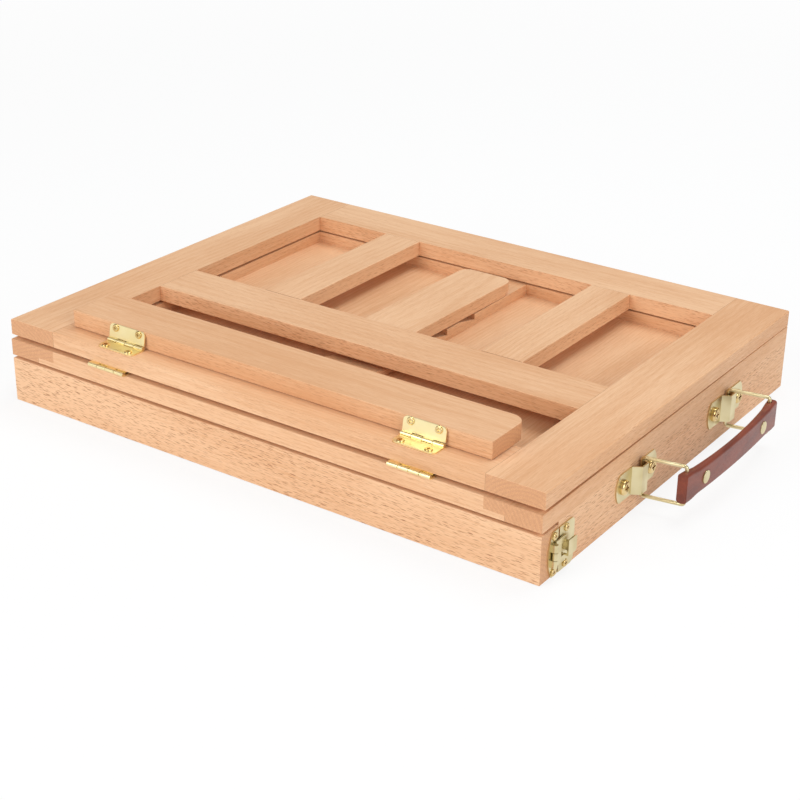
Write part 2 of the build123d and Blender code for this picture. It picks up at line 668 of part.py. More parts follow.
def frame_hinge_parts():
    """The two hinges between tray and easel frame."""
    out = FRAME_LEAF_LENGTH / 2
    lower = hinge_leaf(FRAME_LEAF_LENGTH, (1, 3), 4, out, countersunk=True)
    upper = hinge_leaf(FRAME_LEAF_LENGTH, (1, 3), 4, out, countersunk=True)
    frames = frame_hinge_frames()
    return {
        "frame_hinge_lower_leaves": [frame * REACH_BACK * lower for frame in frames],
        "frame_hinge_pins": [frame * hinge_pin() for frame in frames],
        "frame_hinge_lower_screws": placed_at_screws(frames, REACH_BACK, out, flat_screw()),
        "frame_hinge_upper_leaves": [tilted(frame * REACH_BACK_FACE_UP * upper) for frame in frames],
        "frame_hinge_upper_screws": [tilted(screw) for screw in
                                     placed_at_screws(frames, REACH_BACK_FACE_UP, out, flat_screw())],
    }


def ledge_hinge_parts():
    """The two hinges between easel frame and ledge."""
    lower = hinge_leaf(LEAF_LENGTH, (0, 2), 4, LEAF_SCREW_OUT)
    upper = hinge_leaf(LEAF_LENGTH, (0, 2), 4, LEAF_SCREW_OUT)
    frames = ledge_hinge_frames()
    screw = Pos(0, 0, LEAF) * pan_screw()
    return {
        "ledge_hinge_lower_leaves": [tilted(frame * REACH_FRONT * lower) for frame in frames],
        "ledge_hinge_upper_leaves": [tilted(frame * STAND_LEANING * upper) for frame in frames],
        "ledge_hinge_pins": [tilted(frame * hinge_pin()) for frame in frames],
        "ledge_hinge_lower_screws": [tilted(one) for one in
                                     placed_at_screws(frames, REACH_FRONT, LEAF_SCREW_OUT, screw)],
        "ledge_hinge_upper_screws": [tilted(one) for one in
                                     placed_at_screws(frames, STAND_LEANING, LEAF_SCREW_OUT, screw)],
    }


def strut_hinge_parts():
    """The small hinge between centre rail and strut, let into both."""
    out = STRUT_LEAF_SCREW_OUT
    corner = STRUT_LEAF_CORNER
    rail_leaf = hinge_leaf(STRUT_LEAF_LENGTH, (0, 2), 3, out, countersunk=True, corner=corner)
    strut_leaf = hinge_leaf(STRUT_LEAF_LENGTH, (1,), 3, out, countersunk=True, corner=corner)
    frames = [STRUT_HINGE_FRAME]
    return {
        "strut_hinge_rail_leaf": tilted(STRUT_HINGE_FRAME * STAND_ON_RAIL * rail_leaf),
        "strut_hinge_strut_leaf": tilted(STRUT_TURN * STRUT_HINGE_FRAME * STAND_ON_STRUT * strut_leaf),
        "strut_hinge_pin": tilted(STRUT_HINGE_FRAME * hinge_pin()),
        "strut_hinge_rail_screws": [tilted(one) for one in
                                    placed_at_screws(frames, STAND_ON_RAIL, out, flat_screw())],
        "strut_hinge_strut_screws": [tilted(STRUT_TURN * one) for one in
                                     placed_at_screws(frames, STAND_ON_STRUT, out, flat_screw())],
    }


# Carrying handle


def pivot_ys():
    """Where the handle's two bails turn."""
    return (HANDLE_Y - PIVOT_SPACING / 2, HANDLE_Y + PIVOT_SPACING / 2)


def bracket_ys():
    """The middles of the two brackets. Each strap leaves its bail some room to either side."""
    return (BRACKET_Y - BRACKET_SPACING / 2, BRACKET_Y + BRACKET_SPACING / 2)


def bracket_screw_frames():
    """The four screw spots of the brackets, on the wall."""
    half = BRACKET_SCREW_SPREAD / 2
    return [Pos(WALL_X, y + offset, BRACKET_Z) for y in bracket_ys() for offset in (-half, half)]


def bracket(y):
    """A bracket plate with arched ends and a raised strap that holds the bail."""
    low = BRACKET_Z - BRACKET_HEIGHT / 2
    high = BRACKET_Z + BRACKET_HEIGHT / 2
    left = y - BRACKET_HALF_LENGTH
    right = y + BRACKET_HALF_LENGTH
    outline = [
        Line((left, high), (right, high)),
        ThreePointArc((right, high), (right + BRACKET_BULGE, BRACKET_Z), (right, low)),
        Line((right, low), (left, low)),
        ThreePointArc((left, low), (left - BRACKET_BULGE, BRACKET_Z), (left, high)),
    ]
    flat = extrude(Pos(WALL_X, 0, 0) * (Plane.YZ * make_face(outline)), amount=PLATE)
    crest = STRAP_RISE - PLATE
    outer = [(y - STRAP_BASE, 0), (y - STRAP_CREST, STRAP_RISE), (y + STRAP_CREST, STRAP_RISE),
             (y + STRAP_BASE, 0)]
    inner = [(y - STRAP_BASE + PLATE, 0), (y - STRAP_CREST + PLATE / 2, crest),
             (y + STRAP_CREST - PLATE / 2, crest), (y + STRAP_BASE - PLATE, 0)]
    bump = strap_prism(outer, low, high)
    hollow = strap_prism(inner, low - OVERCUT, high + OVERCUT)
    plate = flat + bump - hollow
    holes = [frame * Rot(Y=90) * Cylinder(SHANK_RADIUS + LEAF_HOLE_PLAY, 4 * PLATE)
             for frame in bracket_screw_frames()]
    return cut_all(plate, holes)


def strap_prism(points, low, high):
    """An upright prism on (y, out from the wall) points."""
    corners = [(WALL_X + out, y) for (y, out) in points]
    face = make_face(Polyline(*corners, close=True))
    return extrude(Pos(0, 0, low) * face, amount=high - low)


def bail(y):
    """A rectangular wire bail. Its ends meet inside the strap."""
    reach = BAIL_REACH
    top = BAIL_HALF_HEIGHT
    gap = WIRE_END_GAP / 2
    points = [(0, 0, gap), (0, 0, top), (reach, 0, top), (reach, 0, -top), (0, 0, -top), (0, 0, -gap)]
    path = FilletPolyline(*points, radius=BAIL_BEND)
    section = Plane(origin=points[0], z_dir=(0, 0, 1)) * Circle(WIRE_RADIUS)
    wire = sweep(section, path=path)
    return Pos(HANDLE_X, y, HANDLE_Z) * Rot(Z=BAIL_LEAN) * wire


def outer_leg(y):
    """Where a bail's outer leg stands, in plan."""
    lean = radians(BAIL_LEAN)
    return (HANDLE_X + BAIL_REACH * cos(lean), y + BAIL_REACH * sin(lean))


def grip_middle():
    """The middle between the bails' outer legs, in plan."""
    near, far = (outer_leg(y) for y in pivot_ys())
    return (near[0], (near[1] + far[1]) / 2)


def rivet_frames():
    """Where the grip's rivets pass through, with z pointing out from the wall."""
    x, y = grip_middle()
    half = RIVET_SPREAD / 2
    return [Pos(x, y + offset, HANDLE_Z) * Rot(Y=90) for offset in (-half, half)]


def grip_faces_at(offset):
    """The grip's inner and outer face beside the legs' line, at an offset from its middle."""
    half = PIVOT_SPACING / 2 + GRIP_END
    share = 1 - (offset / half) ** 2
    inner = -GRIP_THICKNESS / 2 + GRIP_ARCH * share
    outer = GRIP_THICKNESS / 2 + (GRIP_ARCH + GRIP_CROWN - GRIP_THICKNESS) * share
    return (inner, outer)


def grip_side_view(half):
    """The grip seen from the right, as a prism: a waist between two higher ends."""
    flare = GRIP_WAIST_HALF_LENGTH + GRIP_FLARE
    top = [(-half, GRIP_HALF_HEIGHT), (-flare, GRIP_HALF_HEIGHT),
           (-GRIP_WAIST_HALF_LENGTH, GRIP_WAIST_HALF_HEIGHT)]
    top += [(-y, z) for y, z in reversed(top)]
    bottom = [(y, -z) for y, z in reversed(top)]
    face = make_face(Polyline(*top, *bottom, close=True))
    bends = [vertex for vertex in face.vertices() if abs(vertex.X) < half - NEAR]
    face = fillet(bends, GRIP_FLARE_ROUND)
    return extrude(Plane.YZ * face, amount=4 * GRIP_THICKNESS, both=True)


def run_along_y(edge):
    """How far apart the two ends of an edge lie along y."""
    return abs((edge @ 1).Y - (edge @ 0).Y)


def handle_grip():
    """The arched grip, with a hole near each end for a bail's leg."""
    x, y = grip_middle()
    half = PIVOT_SPACING / 2 + GRIP_END
    inner_end, outer_end = grip_faces_at(half)
    inner_mid, outer_mid = grip_faces_at(0)
    outline = [
        ThreePointArc((inner_end, -half), (inner_mid, 0), (inner_end, half)),
        Line((inner_end, half), (outer_end, half)),
        ThreePointArc((outer_end, half), (outer_mid, 0), (outer_end, -half)),
        Line((outer_end, -half), (inner_end, -half)),
    ]
    body = extrude(make_face(outline), amount=2 * GRIP_HALF_HEIGHT, both=True)
    body = body & grip_side_view(half)
    long_edges = [edge for edge in body.edges() if run_along_y(edge) > NEAR]
    body = fillet(long_edges, GRIP_ROUND)
    grip = Pos(x, y, HANDLE_Z) * body
    near_y, far_y = (outer_leg(pivot)[1] for pivot in pivot_ys())
    deep = (0, 2 * HANDLE_Z)
    grip -= rod_z(WIRE_RADIUS + RUNNING_FIT, x, near_y, deep)
    grip -= rod_z(WIRE_RADIUS + GRIP_FAR_PLAY, x, far_y, deep)
    for frame in rivet_frames():
        grip -= frame * Cylinder(RIVET_SHANK_RADIUS + RUNNING_FIT, 4 * GRIP_CROWN)
        inner, outer = grip_faces_at(RIVET_SPREAD / 2)
        sink = RIVET_HEAD - RIVET_PROUD
        for face, way in ((inner, -1), (outer, 1)):
            pocket = Cylinder(RIVET_HEAD_RADIUS + RUNNING_FIT, 4 * sink)
            grip -= frame * Pos(0, 0, face + way * sink) * pocket
    return grip


def grip_rivets():
    """Two rivets through the grip, with a flat head on each side."""
    inner, outer = grip_faces_at(RIVET_SPREAD / 2)
    sink = RIVET_HEAD - RIVET_PROUD
    rivet = Pos(0, 0, (inner + outer) / 2) * Cylinder(RIVET_SHANK_RADIUS, outer - inner)
    for face, way in ((inner, -1), (outer, 1)):
        head = Cylinder(RIVET_HEAD_RADIUS, RIVET_HEAD)
        rim = 0 if way < 0 else -1
        head = fillet(head.edges().group_by(Axis.Z)[rim], RIVET_PROUD / 2)
        rivet += Pos(0, 0, face + way * (RIVET_HEAD / 2 - sink)) * head
    return [frame * rivet for frame in rivet_frames()]


# Latch


def base_screw_frames():
    """The two screws of the latch's base plate, on the end of the drawer front."""
    half = LATCH_SCREW_SPREAD / 2
    return [Pos(WALL_X, BASE_SCREW_Y, LATCH_Z + way * half) for way in (-1, 1)]


def catch_screw_frames():
    """The two screws of the catch plate, on the box's right wall."""
    half = LATCH_SCREW_SPREAD / 2
    return [Pos(WALL_X, CATCH_SCREW_Y, LATCH_Z + way * half) for way in (-1, 1)]


def barrel_spans():
    """The three knuckles of the latch, from the lowest up."""
    low = LATCH_Z - LATCH_BARREL_HEIGHT / 2
    third = LATCH_BARREL_HEIGHT / 3
    gap = KNUCKLE_GAP / 2
    first, second, high = (low + count * third for count in (1, 2, 3))
    return [(low, first - gap), (first + gap, second - gap), (second + gap, high)]


def latch_base_plate():
    """The plate on the drawer front's end, with an arched edge and the two outer knuckles."""
    low = LATCH_Z - LATCH_HEIGHT / 2
    high = LATCH_Z + LATCH_HEIGHT / 2
    corner_y = LATCH_BASE_LEFT_Y + LATCH_BASE_SAG
    outline = [
        Line((LATCH_BASE_RIGHT_Y, low), (LATCH_BASE_RIGHT_Y, high)),
        Line((LATCH_BASE_RIGHT_Y, high), (corner_y, high)),
        ThreePointArc((corner_y, high), (LATCH_BASE_LEFT_Y, LATCH_Z), (corner_y, low)),
        Line((corner_y, low), (LATCH_BASE_RIGHT_Y, low)),
    ]
    plate = extrude(Pos(WALL_X, 0, 0) * (Plane.YZ * make_face(outline)), amount=PLATE)
    bore = rod_z(LATCH_PIN_RADIUS + RUNNING_FIT, LATCH_PIN_X, LATCH_PIN_Y, (low, high))
    bottom, _, top = barrel_spans()
    for span in (bottom, top):
        plate += rod_z(LATCH_BARREL_RADIUS, LATCH_PIN_X, LATCH_PIN_Y, span)
        web_y = (LATCH_PIN_Y - LATCH_BARREL_RADIUS, LATCH_PIN_Y + LATCH_BARREL_RADIUS)
        plate += block((WALL_X, LATCH_PIN_X), web_y, span)
    plate -= bore
    holes = [frame * Rot(Y=90) * Cylinder(SHANK_RADIUS + LEAF_HOLE_PLAY, 4 * PLATE)
             for frame in base_screw_frames()]
    return cut_all(plate, holes)


def latch_pin():
    """The upright pin of the latch."""
    low = LATCH_Z - LATCH_BARREL_HEIGHT / 2
    return rod_z(LATCH_PIN_RADIUS, LATCH_PIN_X, LATCH_PIN_Y, (low, low + LATCH_BARREL_HEIGHT))


def latch_catch_plate():
    """The plate on the box's wall, with the nib that stands in the hasp's window."""
    low = LATCH_Z - LATCH_HEIGHT / 2
    high = LATCH_Z + LATCH_HEIGHT / 2
    plate = block((WALL_X, WALL_X + PLATE), (CATCH_LEFT_Y, CATCH_RIGHT_Y), (low, high))
    plate = eased(plate, CATCH_CORNER, Axis.X, lambda c: c.Y > CATCH_RIGHT_Y - NEAR)
    nib_y = (NIB_Y - NIB_THICKNESS / 2, NIB_Y + NIB_THICKNESS / 2)
    nib_z = (LATCH_Z - NIB_HEIGHT / 2, LATCH_Z + NIB_HEIGHT / 2)
    nib = block((WALL_X, WALL_X + PLATE + NIB_OUT), nib_y, nib_z)
    nib = eased(nib, NIB_THICKNESS / 2 - RUNNING_FIT, Axis.Z, lambda c: c.X > WALL_X + PLATE)
    holes = [frame * Rot(Y=90) * Cylinder(SHANK_RADIUS + LEAF_HOLE_PLAY, 4 * PLATE)
             for frame in catch_screw_frames()]
    return cut_all(plate + nib, holes)


def latch_hasp():
    """The swinging hasp: a flat frame, a riser with a mouth in it, and a raised lip to lift it by."""
    inner = WALL_X + PLATE + HASP_LIFT
    outer = inner + PLATE
    low = LATCH_Z - HASP_HEIGHT / 2
    high = LATCH_Z + HASP_HEIGHT / 2
    lip = (LATCH_Z - HASP_LIP_HEIGHT / 2, LATCH_Z + HASP_LIP_HEIGHT / 2)
    mouth = (LATCH_Z - HASP_MOUTH_HEIGHT / 2, LATCH_Z + HASP_MOUTH_HEIGHT / 2)
    hasp = block((inner, outer), (LATCH_PIN_Y, HASP_RISER_Y + PLATE), (low, high))
    window_y = (HASP_WINDOW_START_Y, HASP_RISER_Y)
    hasp -= block((inner - OVERCUT, outer + OVERCUT), window_y, (low + HASP_BAR, high - HASP_BAR))
    riser = block((inner, outer + HASP_LIP_RISE), (HASP_RISER_Y, HASP_RISER_Y + PLATE), lip)
    sheet = block((inner + HASP_LIP_RISE, outer + HASP_LIP_RISE), (HASP_RISER_Y, HASP_LIP_END_Y), lip)
    sheet = eased(sheet, CATCH_CORNER / 2, Axis.X, lambda c: c.Y > HASP_LIP_END_Y - NEAR)
    hasp += riser
    hasp += sheet
    mouth_y = (HASP_RISER_Y - OVERCUT, HASP_RISER_Y + 2 * PLATE)
    hasp -= block((inner - OVERCUT, inner + HASP_LIP_RISE), mouth_y, mouth)
    reach = LATCH_BARREL_RADIUS + WOOD_PLAY
    below, own, above = barrel_spans()
    for span in ((low - OVERCUT, below[1] + KNUCKLE_GAP), (above[0] - KNUCKLE_GAP, high + OVERCUT)):
        hasp -= block((inner - OVERCUT, outer + reach), (LATCH_PIN_Y - reach, LATCH_PIN_Y + reach), span)
    hasp += rod_z(LATCH_BARREL_RADIUS, LATCH_PIN_X, LATCH_PIN_Y, own)
    hasp -= rod_z(LATCH_PIN_RADIUS + RUNNING_FIT, LATCH_PIN_X, LATCH_PIN_Y, (low - OVERCUT, high + OVERCUT))
    return hasp


def wall_screws(frames, screw):
    """Screws through a plate on the right wall."""
    return [frame * Rot(Y=90) * Pos(0, 0, PLATE) * screw for frame in frames]


def latch_screws(frames):
    """The small cross-head screws of the latch."""
    return wall_screws(frames, pan_screw(LATCH_SCREW_LENGTH))


def bracket_screws():
    """The broad cross-head screws that hold the two brackets."""
    cross = (BRACKET_CROSS_LENGTH, BRACKET_CROSS_WIDTH, BRACKET_CROSS_DEPTH)
    head = cross_head(BRACKET_HEAD_RADIUS, BRACKET_HEAD_HEIGHT, BRACKET_HEAD_ROUND, cross)
    return wall_screws(bracket_screw_frames(), head + screw_shank(LATCH_SCREW_LENGTH))


def save(name, shapes):
    """Writes one node, as a single solid or as a group of separate ones."""
    shape = Compound(children=list(shapes)) if isinstance(shapes, list) else shapes
    export_step(shape, os.path.join("parts", name + ".step"))


def all_parts():
    """Every node and its shape."""
    near_y, far_y = pivot_ys()
    parts = {
        "case_side_left": case_side(-1),
        "case_side_right": case_side(1),
        "case_back": case_back(),
        "case_bottom_panel": case_bottom_panel(),
        "tray_stile_left": tray_stile(-1),
        "tray_stile_right": tray_stile(1),
        "tray_rail_front": tray_rail(-1),
        "tray_rail_back": tray_rail(1),
        "tray_floor_panel": tray_floor_panel(),
        "ratchet_board": ratchet_board(),
        "drawer_front": drawer_front(),
        "drawer_side_left": drawer_side(-1),
        "drawer_side_right": drawer_side(1),
        "drawer_back": drawer_back(),
        "drawer_bottom": drawer_bottom(),
        "drawer_long_divider": drawer_long_divider(),
        "drawer_cross_divider_left": drawer_cross_divider(-1),
        "drawer_cross_divider_right": drawer_cross_divider(1),
        "easel_stile_left": easel_stile(-1),
        "easel_stile_right": easel_stile(1),
        "easel_rail_front": easel_front_rail(),
        "easel_rail_centre": easel_centre_rail(),
        "easel_rail_back": easel_rail(BACK_RAIL_FRONT_Y, outer=1),
        "easel_cross_bar_left": easel_cross_bar(-1),
        "easel_cross_bar_right": easel_cross_bar(1),
        "easel_dowels": easel_dowels(),
        "ledge_bar": ledge_bar(),
        "prop_strut": prop_strut(),
        "handle_brackets": [bracket(y) for y in bracket_ys()],
        "handle_bracket_screws": bracket_screws(),
        "handle_bail_near": bail(near_y),
        "handle_bail_far": bail(far_y),
        "handle_grip": handle_grip(),
        "handle_grip_rivets": grip_rivets(),
        "latch_base_plate": latch_base_plate(),
        "latch_base_screws": latch_screws(base_screw_frames()),
        "latch_pin": latch_pin(),
        "latch_hasp": latch_hasp(),
        "latch_catch_plate": latch_catch_plate(),
        "latch_catch_screws": latch_screws(catch_screw_frames()),
    }
    parts.update(frame_hinge_parts())
    parts.update(ledge_hinge_parts())
    parts.update(strut_hinge_parts())
    return parts


os.makedirs("parts", exist_ok=True)
for node, shapes in all_parts().items():
    save(node, shapes)
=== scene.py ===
import math

import bpy
from mathutils import Matrix, Vector


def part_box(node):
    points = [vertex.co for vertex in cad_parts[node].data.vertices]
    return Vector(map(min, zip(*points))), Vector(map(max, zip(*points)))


# Looks for a beech box easel: wood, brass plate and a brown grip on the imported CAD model,
# a pale floor, soft studio light and a camera at the photograph's viewing angle.

MM = 0.001

# The camera, from the fit to the box's corners in the photograph
CAMERA_PLACE_MM = (513.2, -746.6, 425.4)
CAMERA_TURN = -34.66
CAMERA_DOWN = 25.39
CAMERA_ROLL = 0.67
IMAGE_SIZE = 800
FOCAL_PIXELS = 1713.1
SENSOR_MM = 36.0

# Beech colours, as linear red, green and blue
BEECH_LIGHT = (0.87, 0.555, 0.330)
BEECH_DARK = (0.71, 0.380, 0.190)
BEECH_FLECK = (0.34, 0.105, 0.035)
BEECH_END = (0.60, 0.290, 0.165)
BEECH_SEAM = (0.20, 0.075, 0.030)

# Beech grain, in millimetres
BROAD_LENGTH = 140.0
BROAD_WIDTH = 26.0
RING_SPACING = 2.3
RING_WANDER = 6.0
FIBRE_LENGTH = 13.0
FIBRE_WIDTH = 0.50
FIBRE_DRIFT = 2.5
PORE_SIZE = 0.55
SEAM_WIDTH = 0.3
GRAIN_BUMP = 0.04

# How much each part of the grain darkens the wood, and the span of shade from pale to dark
BROAD_WEIGHT = 1.5
RING_WEIGHT = 0.18
FIBRE_WEIGHT = 1.5
SHADE_SPAN = (-0.2, 1.2)

# The end grain: shares of rings, of pores and of the end's own colour
END_RINGS = 0.45
END_PORES = 0.25
END_SHARE = 0.85
# How dark the seams between boards are
SEAM_SHARE = 0.75

# Flecks: length and width of the cell that holds each, and half its size as a share of the cell
LARGE_FLECKS = (7.4, 1.5, 0.36, 0.15)
SMALL_FLECKS = (4.9, 0.95, 0.38, 0.20)
# Their slope against the grain, how far each row of cells is set off from the last, and how far the
# rows move with height, so that upright faces have flecks too
FLECK_SLANT = 0.06
FLECK_STAGGER = 0.43
FLECK_RISE = 1.17
# How strong the flecks are on upright faces and on level ones, and the small ones beside the large
FLECKS_UPRIGHT = 0.85
FLECKS_LEVEL = 0.28
SMALL_FLECK_SHARE = 0.6

# Brass: pale colour, dark colour and roughness, and how much rougher the rolling marks are
BRASS_YELLOW = ((0.97, 0.84, 0.48), (0.94, 0.79, 0.42), 0.33)
BRASS_PALE = ((0.76, 0.66, 0.40), (0.66, 0.55, 0.30), 0.28)
BRASS_SCREW = ((0.82, 0.62, 0.30), (0.66, 0.46, 0.18), 0.16)
BRASS_MARKS = 0.06

# Grip colours, and the depth of its pebble in millimetres
GRIP_LIGHT = (0.23, 0.040, 0.014)
GRIP_DARK = (0.15, 0.024, 0.009)
GRIP_STREAK = (0.30, 0.070, 0.030)
GRIP_BUMP = 0.05

# Lamps: place, the point that it looks at, side length in metres, watts and colour
LAMPS = {
    "key": ((-0.50, -1.65, 0.95), (0.0, 0.0, 0.03), 1.2, 18.5, (1.0, 0.98, 0.97)),
    "top": ((0.20, 0.55, 1.60), (0.0, 0.0, 0.03), 0.9, 12.5, (0.93, 0.97, 1.0)),
    "right": ((1.60, -0.60, 0.80), (0.1, 0.0, 0.03), 1.0, 11.0, (1.0, 1.0, 1.0)),
}
SURROUND_STRENGTH = 0.38
SURROUND_COLOUR = (1.0, 0.995, 0.99, 1.0)

# The floor: side length, grey, how white the camera sees it under the box, and the distances from
# the middle at which it starts to pale and is plain white, in metres
FLOOR_SIDE = 12.0
FLOOR_GREY = 0.92
FLOOR_GLOW = 0.84
FLOOR_PALES = 0.45
FLOOR_WHITE = 1.6

# One line for each board: grain direction, tone from pale to dark, strength of its flecks
BOARDS = {
    "case_side_left": ("y", 0.50, 0.80),
    "case_side_right": ("y", 0.50, 1.10),
    "case_back": ("x", 0.45, 0.85),
    "case_bottom_panel": ("x", 0.30, 0.30),
    "tray_stile_left": ("y", 0.55, 0.45),
    "tray_stile_right": ("y", 0.50, 0.45),
    "tray_rail_front": ("x", 0.25, 0.45),
    "tray_rail_back": ("x", 0.45, 0.60),
    "tray_floor_panel": ("y", 0.50, 0.35),
    "ratchet_board": ("y", 0.45, 0.50),
    "drawer_front": ("x", 0.20, 1.25),
    "drawer_side_left": ("y", 0.45, 0.70),
    "drawer_side_right": ("y", 0.50, 0.70),
    "drawer_back": ("x", 0.45, 0.70),
    "drawer_bottom": ("x", 0.30, 0.30),
    "drawer_long_divider": ("x", 0.40, 0.60),
    "drawer_cross_divider_left": ("y", 0.45, 0.60),
    "drawer_cross_divider_right": ("y", 0.40, 0.60),
    "easel_stile_left": ("y", 0.50, 0.60),
    "easel_stile_right": ("y", 0.65, 0.50),
    "easel_rail_front": ("x", 0.55, 0.45),
    # The centre rail's tone is set darker partly as painted shade, for its front face that lies in shade
    # inside the slot.
    "easel_rail_centre": ("x", 0.60, 1.00),
    "easel_rail_back": ("x", 0.45, 0.80),
    "easel_cross_bar_left": ("y", 0.40, 0.60),
    "easel_cross_bar_right": ("y", 0.50, 0.70),
    "easel_dowels": ("x", 0.40, 0.30),
    "ledge_bar": ("x", 0.75, 0.55),
    "prop_strut": ("y", 0.35, 0.55),
}
# Where the pith lies, across and above the board's middle, for the boards whose ends show
PITHS = {
    "easel_stile_right": (7.0, -19.0),
    "easel_stile_left": (-30.0, -46.0),
    "tray_stile_right": (-52.0, -34.0),
    "tray_stile_left": (24.0, -60.0),
    "ledge_bar": (-8.0, -26.0),
}
# Boards whose ends meet a stile or a rail along a fine dark seam, by the start of their names
SEAMED = ("easel_rail", "easel_cross_bar", "tray_rail")
GRIP_NODE = "handle_grip"
# Pieces of paler brass than the hinges, by the start of their names
PALE_METAL = ("latch", "handle")


class Tree:
    """A material's node tree, with short calls to add and join nodes."""

    def __init__(self, name):
        self.material = bpy.data.materials.new(name)
        self.material.use_nodes = True
        self.nodes = self.material.node_tree.nodes
        self.links = self.material.node_tree.links
        self.shader = self.nodes["Principled BSDF"]

    def put(self, socket, value):
        """Sets a socket to a value, or joins another node's socket to it."""
        if isinstance(value, bpy.types.NodeSocket):
            self.links.new(value, socket)
        elif isinstance(value, tuple) and len(value) == 3 and socket.type == "RGBA":
            socket.default_value = (*value, 1.0)
        else:
            socket.default_value = value

    def add(self, kind, *values, out=0, **settings):
        """Adds a node, fills its first sockets in order, and returns one of its outputs."""
        node = self.nodes.new(kind)
        for key, value in settings.items():
            setattr(node, key, value)
        for socket, value in zip(node.inputs, values):
            self.put(socket, value)
        return node.outputs[out]

    def math(self, operation, *values):
        return self.add("ShaderNodeMath", *values, operation=operation)

    def vector(self, operation, *values):
        out = 1 if operation == "LENGTH" else 0
        return self.add("ShaderNodeVectorMath", *values, operation=operation, out=out)

    def noise(self, place, detail, roughness=0.5):
        node = self.nodes.new("ShaderNodeTexNoise")
        self.put(node.inputs["Vector"], place)
        node.inputs["Scale"].default_value = 1.0
        node.inputs["Detail"].default_value = detail
        node.inputs["Roughness"].default_value = roughness
        return node.outputs[0]

    def spread(self, value, low, high, new_low=0.0, new_high=1.0):
        """Maps a value smoothly from one range to another."""
        node = self.nodes.new("ShaderNodeMapRange")
        node.interpolation_type = "SMOOTHSTEP"
        self.put(node.inputs["Value"], value)
        self.put(node.inputs["From Min"], low)
        self.put(node.inputs["From Max"], high)
        self.put(node.inputs["To Min"], new_low)
        self.put(node.inputs["To Max"], new_high)
        return node.outputs[0]

    def mix(self, share, first, second):
        node = self.nodes.new("ShaderNodeMix")
        node.data_type = "RGBA"
        self.put(node.inputs[0], share)
        self.put(node.inputs[6], first)
        self.put(node.inputs[7], second)
        return node.outputs[2]

    def bump(self, height, distance, strength):
        node = self.nodes.new("ShaderNodeBump")
        node.inputs["Strength"].default_value = strength
        node.inputs["Distance"].default_value = distance
        self.put(node.inputs["Height"], height)
        return node.outputs[0]


def axes(grain):
    """The axes along and across the grain, by number."""
    return (0, 1) if grain == "x" else (1, 0)


def spot_in_mm(tree, coordinates):
    """The place on the object in millimetres."""
    return tree.vector("MULTIPLY", coordinates.outputs["Object"], (1 / MM, 1 / MM, 1 / MM))


def grain_place(tree, grain, seed):
    """The place with the grain along its first axis, the same with a shift of the board's own, and
    how far the face looks along the grain and straight up or down."""
    coordinates = tree.nodes.new("ShaderNodeTexCoord")
    spot = spot_in_mm(tree, coordinates)
    split = tree.nodes.new("ShaderNodeSeparateXYZ")
    tree.put(split.inputs[0], spot)
    facing = tree.nodes.new("ShaderNodeSeparateXYZ")
    tree.put(facing.inputs[0], coordinates.outputs["Normal"])
    along, across = axes(grain)
    turned_axes = (split.outputs[along], split.outputs[across], split.outputs[2])
    turned = tree.add("ShaderNodeCombineXYZ", *turned_axes)
    shifted = tree.vector("ADD", turned, (seed * 411.3, seed * 37.7, seed * 23.9))
    end_on = tree.spread(tree.math("ABSOLUTE", facing.outputs[along]), 0.5, 0.9)
    level = tree.spread(tree.math("ABSOLUTE", facing.outputs[2]), 0.5, 0.9)
    return turned, shifted, end_on, level


def board_span(name, grain):
    """A board's two ends along the grain, and its middle across and up, in millimetres."""
    low, high = ([value / MM for value in corner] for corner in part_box(name))
    along, across = axes(grain)
    middle = ((low[across] + high[across]) / 2, (low[2] + high[2]) / 2)
    return (low[along], high[along]), middle


def pith_of(name, middle, seed):
    """A point on the line of the trunk's middle, beside or under a board."""
    side = -1 if seed % 2 else 1
    across, up = PITHS.get(name, (side * (14 + 7 * (seed % 4)), -24.0 - 5 * (seed % 3)))
    return (0.0, middle[0] + across, middle[1] + up)


def growth_rings(tree, turned, shifted, pith):
    """Rings round a pith that lies outside the board, bent by a slow wander."""
    wander = tree.noise(tree.vector("MULTIPLY", shifted, (1 / 110, 1 / 30, 1 / 30)), 1.0)
    wander = tree.math("MULTIPLY", wander, RING_WANDER)
    flat = tree.vector("MULTIPLY", tree.vector("SUBTRACT", turned, pith), (0.0, 1.0, 1.0))
    radius = tree.math("ADD", tree.vector("LENGTH", flat), wander)
    wave = tree.math("SINE", tree.math("MULTIPLY", radius, 2 * math.pi / RING_SPACING))
    return tree.spread(wave, -0.4, 1.0)


